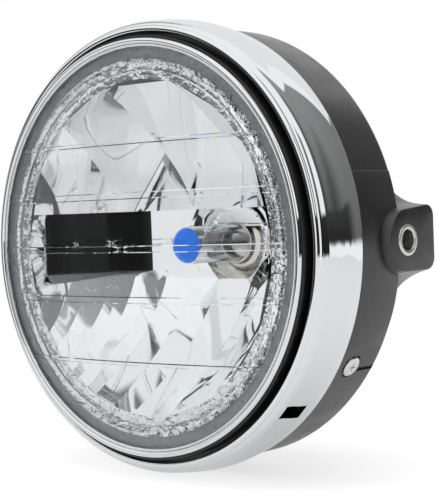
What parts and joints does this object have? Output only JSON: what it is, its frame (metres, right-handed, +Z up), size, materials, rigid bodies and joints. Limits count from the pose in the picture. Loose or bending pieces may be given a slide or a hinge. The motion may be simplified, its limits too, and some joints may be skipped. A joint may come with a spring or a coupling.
{
  "type": "motorcycle headlight",
  "caption": "Round motorcycle headlight with a black moulded case, side mounting ears, a chrome rim and a clear ridged lens over a faceted reflector and bulb.",
  "frame": {"origin": "on the common axis of the two ear bores, midway between the ears", "axes": "+X along the ear bores towards the right ear as seen by the viewer facing the lens, +Y rearwards from lens to case, +Z up"},
  "size_m": [0.1974, 0.1129, 0.192],
  "materials": {
    "case_plastic": "semi-gloss moulded black",
    "chrome": "bright polished plating",
    "clear_lens": "clear, polished",
    "reflector_mirror": "bright vacuum metallised",
    "black_rubber": "matt",
    "sealant": "cured bead",
    "plated_steel": "zinc plated",
    "bulb_metal": "satin",
    "blue_glass": "blue-tinted, glossy",
    "filament": "bare wire",
    "insulator": "matt, pale",
    "contact": "bright"
  },
  "bodies": {
    "root": {"bucket": "case_plastic", "ear_bush_right": "plated_steel", "ear_bush_left": "plated_steel", "chrome_rim": "chrome", "bezel_ring": "chrome", "rim_seal": "black_rubber", "lens": "clear_lens", "lens_sealant": "sealant", "reflector": "reflector_mirror", "bulb_collar": "bulb_metal", "bulb_glass": "blue_glass", "low_beam_filament": "filament", "high_beam_filament": "filament", "filament_supports": "filament", "beam_shield": "bulb_metal", "bulb_insulator": "insulator", "bulb_contacts": "contact", "bulb_retainer": "plated_steel", "dust_boot": "black_rubber", "cable_grommet": "black_rubber", "rim_lugs": "plated_steel", "lug_nuts": "plated_steel", "screw_washers": "plated_steel", "rim_screws": "plated_steel"}
  },
  "joints": []
}
